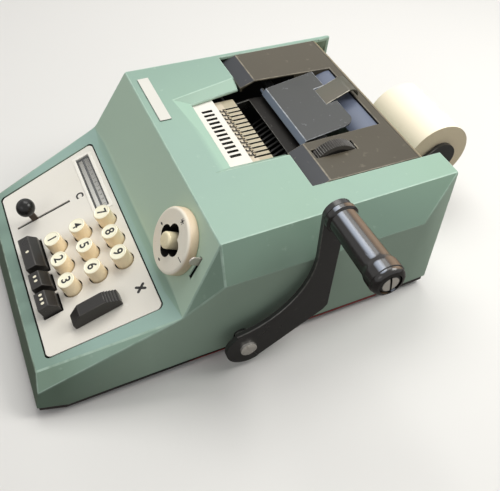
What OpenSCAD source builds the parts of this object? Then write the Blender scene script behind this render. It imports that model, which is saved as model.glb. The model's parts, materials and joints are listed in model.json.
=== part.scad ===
// Hand-cranked printing adding machine.
// Machine axes: X to the right, Y to the rear, Z up from the table.
// Y = 0 is the front edge of the key deck and X = 0 the middle of the housing.

/* [Housing] */
// Height of the key deck at its front edge
deck_front_z = 28.5; // [26:0.5:32]
// Depth of the key deck, front to rear
deck_depth = 92.4; // [90:0.1:100]
// Rise of the key deck over its depth
deck_rise = 30.5; // [28:0.5:33]
// Depth of the steep riser behind the deck
riser_depth = 27.4; // [25:0.1:30]
// Rise of the steep riser
riser_rise = 48; // [46:0.5:52]
// Length of the flat top
top_length = 167; // [165:1:175]
// Fall of the top towards the rear
top_fall = 5.3; // [4:0.1:7]
// Half width of the deck at its front edge
deck_front_half = 82.3; // [81:0.1:84]
// Half width at the foot of the riser
riser_foot_half = 100; // [98:0.5:102]
// Half width at the top of the riser
riser_top_half = 93; // [92:0.5:96]
// Half width of the top at its rear edge
top_rear_half = 87.9; // [87:0.1:92]
// Half width at the side crease
crease_half = 104.3; // [103:0.1:106]
// Height of the side crease
crease_z = 82; // [76:0.5:86]
// Half width of the skirt, front corner
skirt_front_half = 95.4; // [94:0.1:98]
// Half width of the skirt, behind the front corner
skirt_wide_half = 99.5; // [98:0.1:102]
// Half width of the skirt at the rear
skirt_rear_half = 94.6; // [94:0.1:98]
// Height of the skirt's lower edge above the table
skirt_z = 8; // [7:0.5:9]
// Forward lean of the front face at its foot
front_lean = 5.8; // [4:0.1:8]
// Wall of the moulded housing
wall = 3; // [2.5:0.1:3.5]
// Reach of the rounded hollow between deck and riser, along each face
cove = 5; // [3:0.1:5.5]
// Half length of the rounded hollow before it runs out towards the sides
cove_half = 75; // [70:1:85]

/* [Base] */
// Height of the rubber feet
foot_h = 3.5; // [3:0.5:4]
// Radius of the rubber feet
foot_r = 8; // [6:0.5:10]
// Sheet thickness of the base pan
pan_t = 1.5; // [1:0.1:2]
// Step from the housing's skirt in to the pan's rim
pan_step = 1.2; // [0.8:0.1:1.5]
// Half distance between the side frames, to their inner faces
frame_half = 73; // [73:0.5:74]
// Sheet thickness of the side frames
frame_t = 2; // [1.5:0.1:2.5]

/* [Keyboard] */
// Half width of the key panel at its front edge
panel_front_half = 77.2; // [76.5:0.1:78]
// Half width of the key panel at its rear edge
panel_rear_half = 84.5; // [83.5:0.1:85.5]
// Distance of the panel's front edge up the deck
panel_front = 9.4; // [9:0.1:11]
// Distance of the panel's rear edge up the deck
panel_rear = 89.2; // [88:0.1:90]
// Thickness of the key panel
panel_t = 1.2; // [1:0.1:1.5]
// Depth of the panel's face below the deck
panel_sink = 0.4; // [0.2:0.1:0.6]
// Radius of a digit key
key_r = 6.2; // [5.8:0.1:6.6]
// Height of the digit keys above the deck
key_h = 10.4; // [9:0.1:12]
// Distance between key centres across the deck
key_pitch_x = 19.8; // [18:0.1:20]
// Distance between key centres up the deck
key_pitch_s = 19.4; // [18.5:0.1:19.8]
// Centre of the first digit key across the deck
key_first_x = -3.6; // [-4:0.1:-2]
// Centre of the first digit key up the deck
key_first_s = 39.3; // [39:0.1:40]
// Travel of a key
key_travel = 4; // [3:0.1:4.5]
// Radius of a key stem
stem_r = 2.5; // [2:0.1:3]
// Thickness of the key guide block
guide_t = 10; // [8:0.5:12]
// Front edge of the zero bars up the deck
zero_front = 15.4; // [15:0.1:17]
// Depth of a zero bar's flat top
zero_flat = 8; // [7:0.1:9]
// Depth of a zero bar at its foot
zero_depth = 12.6; // [12:0.1:13.5]
// Left edge of the repeat bar
repeat_left = 59; // [58.5:0.1:60]
// Width of the repeat bar
repeat_w = 9.4; // [8:0.1:10]
// Front edge of the repeat bar up the deck
repeat_front = 33; // [32:0.1:35]
// Length of the repeat bar
repeat_len = 34; // [32:0.5:35]
// Travel of the repeat bar
repeat_travel = 6; // [4:0.5:7]
// Position of the clear lever's slot across the deck
lever_x = -40; // [-42:0.5:-39]
// Front end of the clear lever's slot up the deck
lever_slot_front = 14.7; // [14:0.1:16]
// Rear end of the clear lever's slot up the deck
lever_slot_rear = 58; // [56:0.1:60]
// Rest position of the clear lever up the deck
lever_rest = 29.5; // [28:0.1:32]
// Radius of the clear lever's ball
ball_r = 6.75; // [6:0.05:7.5]
// Height of the ball's centre above the deck
ball_h = 13.8; // [12:0.1:18]

/* [Entry window] */
// Left end of the window across the deck
window_left = -76; // [-77:0.1:-75]
// Right end of the window across the deck
window_right = -17; // [-19:0.1:-16.5]
// Front edge of the window up the deck
window_front = 73; // [72.5:0.1:74]
// Rear edge of the window up the deck
window_rear = 84; // [83.5:0.1:84.5]
// Width of the window's frame
bezel_w = 2.2; // [1.5:0.1:2.4]
// Height of the window's frame above the panel
bezel_h = 0.5; // [0.4:0.1:1]

/* [Selector] */
// Centre of the selector ring across the riser
dial_x = 60.3; // [58:0.1:61]
// Centre of the selector ring up the riser
dial_u = 27.3; // [26:0.1:28]
// Radius of the selector ring
dial_r = 21.5; // [20:0.1:22]
// Thickness of the selector ring
dial_t = 7.5; // [6:0.1:8]
// Radius of each lobe of the gate
lobe_r = 5.9; // [5.5:0.1:6]
// Distance of the lobes from the middle of the gate
lobe_reach = 6.2; // [6:0.1:6.4]
// Radius of the selector knob
knob_r = 5.5; // [5:0.1:5.5]
// Height of the selector knob above the riser
knob_h = 11.5; // [10:0.1:13]
// Position of the release tab across the riser
tab_x = 85.2; // [84.6:0.1:85.6]
// Upper end of the release tab's slot up the riser
tab_slot_top = 37.7; // [36:0.1:39]
// Length of the release tab's slot
tab_slot_len = 16.5; // [14:0.1:18]

/* [Printer] */
// Front edge of the printer window behind the crest of the riser
recess_front = 20.6; // [19:0.1:22]
// Left edge of the printer window, front corner
recess_left = -48.6; // [-50:0.1:-48]
// Right edge of the printer window
recess_right = 34.4; // [34:0.1:36]
// Depth of the printer window's sloping sides
recess_depth = 5; // [4:0.1:5.5]
// Front edge of the printer cover behind the crest
cover_front = 73.4; // [73:0.1:75]
// Left edge of the printer cover, front corner
cover_left = -87; // [-87:0.1:-85.5]
// Right edge of the printer cover
cover_right = 66.2; // [64:0.1:67]
// Length of the printer cover
cover_len = 83.6; // [83:0.1:86]
// Length of the cover's sloping front strip
cover_slope = 12.5; // [11:0.1:13]
// Sheet thickness of the printer cover
cover_t = 1.5; // [1.2:0.1:1.6]
// Left edge of the cover's paper opening
mouth_left = -46; // [-47:0.1:-45]
// Right edge of the cover's paper opening
mouth_right = 26.2; // [25.5:0.1:27]
// Rear edge of the cover's paper opening behind the crest
mouth_rear = 145.6; // [145:0.1:147]
// Middle of the printing columns
print_x = -10.5; // [-11:0.1:-10]
// Number of printing columns
columns = 12; // [8:1:12]
// Distance between printing columns
column_pitch = 4.67; // [4.5:0.01:4.7]
// Radius of the platen
platen_r = 9.5; // [8.5:0.1:9.8]
// Radius of the platen's thumb wheel
wheel_r = 19; // [18:0.1:19.5]
// Height of the thumb wheel above the top
wheel_rise = 5.3; // [4:0.1:6]
// Width of the platen's thumb wheel
wheel_w = 7.6; // [6:0.1:8]
// Left face of the platen's thumb wheel
wheel_left = 36; // [35:0.1:37]
// Width of the paper guide plate
guide_w = 65; // [62:0.5:66]

/* [Paper roll] */
// Radius of the full paper roll
roll_r = 26.7; // [20:0.1:27]
// Width of the paper roll
roll_w = 60; // [57:0.5:62]
// Radius of the roll core
core_r = 10; // [8:0.1:11]
// Distance of the roll axis behind the rear of the top
roll_back = 43.2; // [42:0.1:46]
// Height of the roll axis
roll_z = 48; // [46:0.5:52]

/* [Crank] */
// Distance of the crank axis behind the deck's front edge
crank_y = 131.9; // [130:0.1:134]
// Height of the crank axis
crank_z = 20.9; // [20.5:0.1:23]
// Distance of the handle behind the crank axis
grip_back = 52.3; // [50:0.1:54]
// Height of the handle above the crank axis
grip_up = 102.7; // [95:0.1:105]
// Gap between the side crease and the crank arm
arm_clear = 3.2; // [2.5:0.1:5]
// Thickness of the crank arm
arm_t = 3.5; // [3:0.1:4]
// Radius of the crank hub
hub_r = 15; // [13:0.5:16]
// Length of the handle
grip_len = 53.6; // [45:0.1:60]
// Radius of the handle at its widest
grip_r = 10.3; // [9:0.1:12]
// Radius of the handle next to its collar
grip_neck_r = 8.6; // [8:0.1:9]
// Radius of the crank shaft
shaft_r = 4; // [3.5:0.1:5]

/* [Hidden] */
$fn = 48;
// Running clearance of a pin in its bore
run = 0.06;
// Gap between a moving piece and the opening it passes
free = 0.6;
// Gap round the keys where they pass the key panel
key_gap = 0.9;
// Gap round the key panel in the housing
panel_gap = 1;
// Gap between faces that slide or seat
seat = 0.2;
// Overlap that makes two shapes of one piece join
join = 0.1;

// Colours as they show in the photograph
mint = [0.55, 0.68, 0.60];
ivory = [0.93, 0.91, 0.84];
cream = [0.97, 0.93, 0.78];
black = [0.10, 0.10, 0.10];
steel = [0.62, 0.63, 0.64];
brass = [0.70, 0.58, 0.32];

// Slopes of the deck, the riser and the top
deck_angle = atan2(deck_rise, deck_depth);
riser_angle = atan2(riser_rise, riser_depth);
top_angle = -atan2(top_fall, top_length);
crest_y = deck_depth + riser_depth;
crest_z = deck_front_z + deck_rise + riser_rise;
rear_y = crest_y + top_length;
rear_z = crest_z - top_fall;
// Foot of the rear face, which leans forward as it goes down
rear_foot_y = rear_y - 6.6;
// Height where the front facets meet at the side of the front face
front_knee_z = 19;
front_knee_half = skirt_front_half - 3.1;
// Where the side crease begins and ends
crease_front_y = crest_y - 1.4;
crease_rear_y = rear_y - 31;
// Where the skirt is widest
skirt_wide_y = 11.9;
// Inside floor of the pan, on which the frames and bosses stand
floor_z = foot_h + pan_t;

// Inner face of the crank arm
arm_x = crease_half + arm_clear;

// Middle of the whole object, which becomes the origin
grip_x = arm_x + arm_t + 0.4;
handle_end = grip_x + grip_len;
roll_y = rear_y + roll_back;
mid_x = (handle_end - crease_half) / 2;
mid_y = (roll_y + roll_r - front_lean) / 2;

// Crank and type rack gearing
gear_module = 1.5;
drive_teeth = 18;
rack_teeth = 36;
gear_gap = gear_module * (drive_teeth + rack_teeth) / 2;
gear_x = 40;
gear_w = 6;
rack_angle = 49;
rack_y = crank_y + gear_gap * cos(rack_angle);
rack_z = crank_z + gear_gap * sin(rack_angle);
rack_shaft_r = 4;

// Platen, under the mouth of the printer cover
platen_t = 102.7;
platen_y = crest_y + platen_t;
platen_n = wheel_rise - wheel_r;
platen_z = rear_z + top_fall * (1 - platen_t / top_length) + platen_n;
platen_shaft_r = 3;
print_half = (columns - 1) / 2 * column_pitch;
type_r = norm([platen_y - rack_y, platen_z - rack_z]) - platen_r - 1.2;

// Key guide block under the panel
guide_top = -panel_sink - panel_t;
guide_bottom = guide_top - guide_t;
stem_end = guide_bottom - 4.4;
rail_n = stem_end - key_travel - 6;
rail_r = 2.5;
rail_s = [76, 82];
carriage_left = -28;
carriage_w = 14;

// Selector pivot below the riser
pivot_n = -14;
boss_r = lobe_reach + lobe_r + 2.7;
ear_t = 1.8;

// Rods that carry the printer window plate and comb
rod_r = 2.5;
rod_t = [40, 64];
rod_n = -19;
plate_n = -recess_depth - 2.5;
comb_n = plate_n - 3.5;

// Paper guide hinge and profile, behind the crest and from the top surface
hinge_t = 91.5;
hinge_n = -8;
hinge_pin_r = 1.5;
guide_foot_t = 88.8;
guide_foot_n = -8.2;
guide_knee_t = 91.8;
guide_knee_n = -3.6;
guide_end_t = 129;
guide_end_n = 2.5;
sheet = 1;
// Half length of the slot that the thumb wheel rises through
wheel_slot = sqrt(wheel_r * wheel_r - platen_n * platen_n) + 2;

module in_frame() { translate([-mid_x, -mid_y, 0]) children(); }
module on_deck() { translate([0, 0, deck_front_z]) rotate([deck_angle, 0, 0]) children(); }
module on_riser() {
  translate([0, deck_depth, deck_front_z + deck_rise]) rotate([riser_angle, 0, 0]) children();
}
module on_top() { translate([0, crest_y, crest_z]) rotate([top_angle, 0, 0]) children(); }
// A rod along X between two ends
module rod_x(x0, x1, r) { translate([x0, 0, 0]) rotate([0, 90, 0]) cylinder(r = r, h = x1 - x0); }
// A flat outline drawn in depth and height, given a width along X
module wide(x0, x1) {
  translate([x0, 0, 0]) rotate([90, 0, 90]) linear_extrude(x1 - x0) children();
}
// A block between two corners
module block(a, b) { translate(a) cube(b - a); }

// Unit normals of the front face, deck, riser, top and rear face, in depth and height
front_normal = [-(deck_front_z - skirt_z), front_lean] / norm([deck_front_z - skirt_z, front_lean]);
deck_normal = [-sin(deck_angle), cos(deck_angle)];
riser_normal = [-sin(riser_angle), cos(riser_angle)];
top_normal = [-sin(top_angle), cos(top_angle)];
rear_normal = [rear_z - skirt_z, rear_foot_y - rear_y] / norm([rear_z - skirt_z, rear_foot_y - rear_y]);
// Inward shift of the edge between two faces for a wall of thickness i
function inward(a, b, i) = -i * (a + b) / (1 + a * b);
function edge(x, y, z, shift, i) = [x - i, y + shift[0], z + shift[1]];
// Corners of the right side of the housing, moved in by i
function side_corners(i) = [
  [skirt_front_half - i, -front_lean + i, skirt_z - (i > 0 ? 2 : 0)],
  [front_knee_half - i, i - front_lean * (deck_front_z - front_knee_z) / (deck_front_z - skirt_z),
    front_knee_z - i / 2],
  edge(deck_front_half, 0, deck_front_z, inward(front_normal, deck_normal, i), i),
  edge(riser_foot_half, deck_depth, deck_front_z + deck_rise, inward(deck_normal, riser_normal, i), i),
  edge(riser_top_half, crest_y, crest_z, inward(riser_normal, top_normal, i), i),
  edge(top_rear_half, rear_y, rear_z, inward(top_normal, rear_normal, i), i),
  [crease_half - i, crease_front_y, crease_z],
  [crease_half - i, crease_rear_y, crease_z],
  [skirt_wide_half - i, skirt_wide_y, skirt_z - (i > 0 ? 2 : 0)],
  [skirt_wide_half - 2.3 - i, deck_depth + 11, skirt_z - (i > 0 ? 2 : 0)],
  [skirt_rear_half + 0.9 - i, crease_rear_y, skirt_z - (i > 0 ? 2 : 0)],
  [skirt_rear_half - i, rear_foot_y - i, skirt_z - (i > 0 ? 2 : 0)]];
// Facets of the right side, and the same facets turned over for the left side
right_facets = [[0, 8, 1], [1, 8, 3], [1, 3, 2], [8, 9, 3], [3, 9, 6], [3, 6, 4], [4, 6, 7], [4, 7, 5],
  [6, 9, 10], [6, 10, 7], [7, 10, 11], [7, 11, 5]];
module housing_solid(i) {
  side = side_corners(i);
  n = len(side);
  points = concat(side, [for (p = side) [-p[0], p[1], p[2]]]);
  left_facets = [for (f = right_facets) [f[0] + n, f[2] + n, f[1] + n]];
  middle = [[0, 1, 2, 2 + n, 1 + n, n], [2, 3, 3 + n, 2 + n], [3, 4, 4 + n, 3 + n],
    [4, 5, 5 + n, 4 + n], [5, 11, 11 + n, 5 + n], [0, n, 8 + n, 9 + n, 10 + n, 11 + n, 11, 10, 9, 8]];
  polyhedron(points, concat([for (f = right_facets) [f[0], f[2], f[1]]],
    [for (f = left_facets) [f[0], f[2], f[1]]], [for (f = middle) [for (k = [len(f) - 1:-1:0]) f[k]]]));
}

// Panel outline in deck coordinates, grown by g
module panel_outline(g) {
  corner = 4;
  hull() for (side = [-1, 1]) {
    translate([side * (panel_front_half - corner + g), panel_front + corner - g]) circle(corner, $fn = 32);
    translate([side * (panel_rear_half - corner + g), panel_rear - corner + g]) circle(corner, $fn = 32);
  }
}
// Printer window: outer outline on the top surface and inner outline at its foot
module recess_outline(grow) {
  polygon([[recess_left + 4 - grow, recess_front + 14 - grow],
    [recess_right - 7 + grow, recess_front + 14 - grow],
    [recess_right - 6 + grow, cover_front + join],
    [recess_left - 2 - grow, cover_front + join]]);
}
module printer_window() {
  hull() {
    translate([0, 0, join]) linear_extrude(join) polygon([[recess_left, recess_front],
      [recess_right, recess_front], [recess_right + 0.6, cover_front + join],
      [recess_left - 11, cover_front + join]]);
    translate([0, 0, -recess_depth]) linear_extrude(join) recess_outline(0);
  }
  translate([0, 0, -recess_depth - 12]) linear_extrude(12 + join) recess_outline(0);
}
cover_rear = cover_front + cover_len;
cover_left_rear = cover_left + 2.6;
// Outline of the printer cover seen from above, grown by g
module cover_plan(g) {
  polygon([[cover_left - g, cover_front - g], [cover_right + g, cover_front - g],
    [cover_right + g, cover_rear + g], [cover_left_rear - g, cover_rear + g]]);
}
// Rounded hollow along the foot of the riser, running out to nothing at both ends
module riser_cove() {
  run_out = riser_foot_half - 1.5 - cove_half;
  turn = riser_angle - deck_angle;
  r = cove / tan(turn / 2);
  centre = cove * [-cos(deck_angle), -sin(deck_angle)] + r * deck_normal;
  outline = concat([[wall / 3, -wall / 3]],
    [for (k = [0:5]) centre + r * [sin(riser_angle - turn * k / 5), -cos(riser_angle - turn * k / 5)]]);
  translate([0, deck_depth, deck_front_z + deck_rise]) {
    wide(-cove_half, cove_half) polygon(outline);
    translate([cove_half, 0, 0]) rotate([90, 0, 90]) linear_extrude(run_out, scale = 0.02) polygon(outline);
    mirror([1, 0, 0]) translate([cove_half, 0, 0]) rotate([90, 0, 90])
      linear_extrude(run_out, scale = 0.02) polygon(outline);
  }
}
boss_x = skirt_rear_half - 10.6;
boss_spots = [[boss_x, skirt_wide_y + 1.1], [boss_x, rear_foot_y - 18.2]];
module upper_cover() {
  color(mint) in_frame() difference() {
    union() {
      difference() {
        housing_solid(0);
        housing_solid(wall);
      }
      riser_cove();
      intersection() {
        housing_solid(wall / 2);
        union() {
          on_top() translate([recess_left - 17, wall, plate_n + seat])
            cube([recess_right - recess_left + 27, cover_front - wall, -plate_n - wall + join]);
          on_top() intersection() {
            translate([0, 0, -wall - 2]) linear_extrude(wall + 2) difference() {
              cover_plan(8);
              cover_plan(-3);
            }
            block([-crease_half, cover_front + cover_slope + 1, -40], [crease_half, cover_rear - 6, 0]);
          }
          for (side = [-1, 1], spot = boss_spots)
            translate([side * spot[0], spot[1], floor_z]) cylinder(r = 5, h = crest_z);
        }
      }
    }
    on_deck() translate([0, 0, -wall - 2]) linear_extrude(wall + 4) panel_outline(panel_gap);
    on_riser() {
      translate([dial_x, dial_u, -wall - 2]) cylinder(r = boss_r + 0.4, h = wall + 4);
      block([tab_x - 1.2, tab_slot_top - tab_slot_len, -wall - 1], [tab_x + 1.2, tab_slot_top, 1]);
    }
    on_top() {
      printer_window();
      translate([0, 0, -cover_t]) linear_extrude(9) cover_plan(0.4);
      translate([0, 0, -9]) linear_extrude(18) intersection() {
        cover_plan(0.4);
        union() {
          translate([-crease_half, 0]) square([2 * crease_half, cover_front + cover_slope + 1]);
          cover_plan(-3);
        }
      }
      block([cover_left_rear, cover_rear - 6, -33], [cover_right + 0.4, top_length + 9, 9]);
    }
    translate([0, crank_y, crank_z]) rod_x(boss_x, crease_half, shaft_r + free);
    block([boss_x, crank_y - shaft_r - free, 0], [crease_half, crank_y + shaft_r + free, crank_z]);
    for (side = [-1, 1], spot = boss_spots)
      translate([side * spot[0], spot[1], 0]) cylinder(r = 1.6, h = 18);
  }
}

// Outline of the pan, held g inside the outer face of the skirt
function pan_side(g) = [[skirt_front_half - g, -front_lean + g], [skirt_wide_half - g, skirt_wide_y],
  [skirt_wide_half - 2.3 - g, deck_depth + 11], [skirt_rear_half + 0.9 - g, crease_rear_y],
  [skirt_rear_half - g, rear_foot_y - g]];
module pan_outline(g) {
  side = pan_side(g);
  polygon(concat(side, [for (k = [len(side) - 1:-1:0]) [-side[k][0], side[k][1]]]));
}
foot_x = frame_half - 1;
foot_spots = [[foot_x, 24], [foot_x, rear_foot_y - 32.2]];
module base_pan() {
  color([0.60, 0.22, 0.20]) in_frame() difference() {
    translate([0, 0, foot_h]) linear_extrude(skirt_z - foot_h) pan_outline(pan_step);
    translate([0, 0, floor_z]) linear_extrude(skirt_z) pan_outline(pan_step + pan_t);
    for (side = [-1, 1], spot = boss_spots)
      translate([side * spot[0], spot[1], 0]) cylinder(r = 1.7, h = 20);
  }
}
module rubber_feet() {
  color(black) in_frame() for (side = [-1, 1], spot = foot_spots)
    translate([side * spot[0], spot[1], 0]) cylinder(r = foot_r, h = foot_h);
}
module cover_screws() {
  color(steel) in_frame() for (side = [-1, 1], spot = boss_spots)
    translate([side * spot[0], spot[1], 0]) {
      translate([0, 0, foot_h - 1.8]) cylinder(r = 3, h = 1.8);
      translate([0, 0, foot_h - join]) cylinder(r = 1.5, h = 12);
    }
}

// Point of the deck frame as depth and height of the machine
function deck_point(s, n) = [s * cos(deck_angle) - n * sin(deck_angle),
  deck_front_z + s * sin(deck_angle) + n * cos(deck_angle)];
function top_point(t, n) = [crest_y + t * cos(top_angle) - n * sin(top_angle),
  crest_z + t * sin(top_angle) + n * cos(top_angle)];
frame_top_n = -9;
frame_step_z = deck_front_z + 19.5;
module frame_outline() {
  polygon([[10, floor_z], deck_point(panel_front + 3, guide_bottom),
    deck_point(panel_rear - 6, guide_bottom),
    [deck_depth + 4, frame_step_z], [crank_y + 6, frame_step_z], top_point(rod_t[0] - 6, frame_top_n),
    top_point(top_length - 25, frame_top_n), [rear_foot_y - 20, floor_z]]);
}
module side_frame(side) {
  x = side > 0 ? frame_half : -frame_half - frame_t;
  foot = side > 0 ? x : x - 8 + frame_t;
  color(steel) in_frame() difference() {
    union() {
      wide(x, x + frame_t) frame_outline();
      block([foot, 20, floor_z], [foot + 8, rear_foot_y - 30, floor_z + frame_t]);
    }
    for (s = rail_s) on_deck() translate([0, s, rail_n]) rod_x(x - 9, x + 11, rail_r + run);
    for (t = rod_t) on_top() translate([0, t, rod_n]) rod_x(x - 9, x + 11, rod_r + run);
    translate([0, crank_y, crank_z]) rod_x(x - 9, x + 11, shaft_r + 2 + run);
    translate([0, rack_y, rack_z]) rod_x(x - 9, x + 11, rack_shaft_r + run);
    translate([0, platen_y, platen_z]) rod_x(x - 9, x + 11, platen_shaft_r + run);
  }
}
module side_frame_left() { side_frame(-1); }
module side_frame_right() { side_frame(1); }
rod_end = frame_half + frame_t;
module frame_rods() {
  color(steel) in_frame() for (t = rod_t) on_top() translate([0, t, rod_n]) rod_x(-rod_end, rod_end, rod_r);
}
module carriage_rails() {
  color(steel) in_frame() for (s = rail_s)
    on_deck() translate([0, s, rail_n]) rod_x(-rod_end, rod_end, rail_r);
}

// Zero bars: left edge, right edge and the places of their stems
zero_bars = [[-18, 11, [-12, 5]], [16, 29.7, [22.8]], [34, 47.9, [41]]];
function key_x(k) = key_first_x + key_pitch_x * ((k - 1) % 3);
function key_s(k) = key_first_s + key_pitch_s * floor((k - 1) / 3);
stem_s = zero_front + zero_flat / 2 + 1;
repeat_stem_x = repeat_left + repeat_w / 2;
repeat_stem_front = repeat_front + 8;
repeat_stem_len = 18;
lever_t = 1.4;
lever_w = 5;

// Holes that the keys, levers and window need, through a plate between two levels
module key_openings(r, side_gap) {
  for (k = [1:9]) translate([key_x(k), key_s(k), -30]) cylinder(r = r, h = 60);
  for (bar = zero_bars) block([bar[0] - side_gap, zero_front - side_gap, -30],
    [bar[1] + side_gap, zero_front + zero_depth + side_gap, 30]);
}
module slots() {
  block([lever_x - lever_t / 2 - 0.3, lever_slot_front, -30],
    [lever_x + lever_t / 2 + 0.3, lever_slot_rear, 30]);
  block([repeat_stem_x - 1.3, repeat_stem_front - free, -30],
    [repeat_stem_x + 1.3, repeat_stem_front + repeat_stem_len + repeat_travel + free, 30]);
}
module key_panel() {
  color(ivory) in_frame() on_deck() difference() {
    translate([0, 0, guide_top]) linear_extrude(panel_t) panel_outline(0);
    key_openings(key_r + key_gap, key_gap);
    slots();
    block([window_left, window_front, -9], [window_right, window_rear, 9]);
  }
}
module key_guide() {
  pocket_n = -2.5 - key_travel - free;
  color(black) in_frame() on_deck() difference() {
    translate([0, 0, guide_bottom]) linear_extrude(guide_t) panel_outline(-1.2);
    translate([0, 0, 30 + pocket_n]) key_openings(key_r + free, free);
    slots();
    block([window_left + 2, window_front + 1.5, -30], [window_right - 2, window_rear - 1.5, 9]);
    for (k = [1:9]) translate([key_x(k), key_s(k), -30]) cylinder(r = stem_r + run, h = 60);
    for (bar = zero_bars, x = bar[2]) translate([x, stem_s, -30]) cylinder(r = stem_r + run, h = 60);
  }
}
// Stem with the stop collar under the guide block
module key_stem() {
  translate([0, 0, stem_end]) cylinder(r = stem_r, h = -2 - stem_end);
  translate([0, 0, guide_bottom - 0.3 - 1]) cylinder(r = stem_r + 1.1, h = 1);
}
module digit_key(k) {
  top_round = 0.8;
  dish = 0.35;
  color(cream) in_frame() on_deck() translate([key_x(k), key_s(k), 0]) {
    rotate_extrude() polygon([[0, -2.5], [key_r, -2.5], [key_r, key_h - top_round],
      [key_r - top_round / 3, key_h - top_round / 3], [key_r - top_round, key_h],
      [key_r - top_round - 0.7, key_h - dish], [0, key_h - dish]]);
    key_stem();
  }
}
module key_1() { digit_key(1); }
module key_2() { digit_key(2); }
module key_3() { digit_key(3); }
module key_4() { digit_key(4); }
module key_5() { digit_key(5); }
module key_6() { digit_key(6); }
module key_7() { digit_key(7); }
module key_8() { digit_key(8); }
module key_9() { digit_key(9); }
module zero_bar(b) {
  bar = zero_bars[b];
  color(black) in_frame() on_deck() {
    wide(bar[0], bar[1]) polygon([[zero_front, -2.5], [zero_front, key_h - 1],
      [zero_front + 0.8, key_h - 0.2],
      [zero_front + zero_flat, key_h - 0.2], [zero_front + zero_depth, key_h - 6],
      [zero_front + zero_depth, -2.5]]);
    for (x = bar[2]) translate([x, stem_s, 0]) key_stem();
  }
}
module key_0() { zero_bar(0); }
module key_00() { zero_bar(1); }
module key_000() { zero_bar(2); }

module repeat_bar() {
  end_h = 4.5;
  rear = repeat_front + repeat_len;
  crown_front = repeat_front + 7.7;
  crown_rear = repeat_front + 24;
  ribs = 6;
  step_s = (rear - crown_rear) / ribs;
  step_n = (key_h - end_h) / ribs;
  color(black) in_frame() on_deck() {
    wide(repeat_left, repeat_left + repeat_w) polygon(concat([[repeat_front, 0], [repeat_front, end_h],
      [crown_front, key_h]], [for (k = [0:ribs - 1], j = [0, 1])
      [crown_rear + step_s * (k + j), key_h - step_n * k]], [[rear, end_h], [rear, 0]]));
    block([repeat_stem_x - 0.9, repeat_stem_front, guide_bottom - 0.3 - join],
      [repeat_stem_x + 0.9, repeat_stem_front + repeat_stem_len, join]);
    block([repeat_stem_x - 4, repeat_stem_front, guide_bottom - 2.3],
      [repeat_stem_x + 4, repeat_stem_front + repeat_stem_len, guide_bottom - 0.3]);
  }
}
module clear_stem() {
  color([0.30, 0.25, 0.20]) in_frame() on_deck() {
    block([lever_x - lever_t / 2, lever_rest - lever_w / 2, guide_bottom - 0.3 - join],
      [lever_x + lever_t / 2, lever_rest + lever_w / 2, ball_h - ball_r + 0.6]);
    block([lever_x - 4, lever_rest - lever_w / 2, guide_bottom - 2.3],
      [lever_x + 4, lever_rest + lever_w / 2, guide_bottom - 0.3]);
    translate([lever_x, lever_rest, ball_h - ball_r]) cylinder(r = 1.2, h = ball_r);
  }
}
module clear_ball() {
  color(black) in_frame() on_deck() translate([lever_x, lever_rest, ball_h]) difference() {
    sphere(ball_r);
    translate([0, 0, -ball_r - 1]) cylinder(r = 1.2 + run, h = ball_r + 1.1);
    translate([0, 0, -ball_r - 1]) cube([lever_w + 1, lever_w + 1, 3.4], center = true);
  }
}

module window_bezel() {
  w = bezel_w;
  color(ivory) in_frame() on_deck() difference() {
    block([window_left - w, window_front - w, -panel_sink],
      [window_right + w, window_rear + w, bezel_h - panel_sink]);
    block([window_left + 0.2, window_front + 0.2, -2], [window_right - 0.2, window_rear - 0.2, 2]);
  }
}
module entry_window() {
  color([0.85, 0.90, 0.90, 0.4]) in_frame() on_deck()
    block([window_left + 0.3, window_front + 0.3, guide_top],
    [window_right - 0.3, window_rear - 0.3, -panel_sink]);
}
scale_front = (window_front + window_rear) / 2 + 0.6;
module column_scale() {
  color([0.25, 0.26, 0.27]) in_frame() on_deck() block([window_left + 2.1, scale_front, guide_top - 1.4],
    [window_right - 2.1, window_rear - 1.6, guide_top - seat / 2]);
}
module pin_carriage() {
  top_n = stem_end - key_travel - 0.5;
  pointer_x = carriage_left + carriage_w / 2;
  color(brass) in_frame() on_deck() difference() {
    union() {
      block([carriage_left, rail_s[0] - 5, rail_n - 5], [carriage_left + carriage_w, rail_s[1] + 5, top_n]);
      block([pointer_x - 1, window_front + 2, top_n - join],
        [pointer_x + 1, scale_front - 0.8, guide_top - 0.5]);
    }
    for (s = rail_s) translate([0, s, rail_n])
      rod_x(carriage_left - 1, carriage_left + carriage_w + 1, rail_r + run);
  }
}

// Four-lobed gate of the selector
module gate(h) {
  translate([0, 0, -h / 2]) cylinder(r = lobe_reach / 2, h = h);
  for (a = [0:90:270]) rotate(a) translate([lobe_reach, 0, -h / 2]) cylinder(r = lobe_r, h = h);
}
module at_dial() { on_riser() translate([dial_x, dial_u, 0]) children(); }
module selector_ring() {
  rim = 2.4;
  color(ivory) in_frame() at_dial() difference() {
    union() {
      rotate_extrude() polygon(concat([[0, 0], [dial_r - 0.6, 0], [dial_r, 0.6]],
        [for (a = [0:15:90]) [dial_r - rim + rim * cos(a), dial_t - rim + rim * sin(a)]], [[0, dial_t]]));
      translate([0, 0, -wall - 2]) cylinder(r = boss_r, h = wall + 3);
    }
    gate(40);
  }
}
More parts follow.
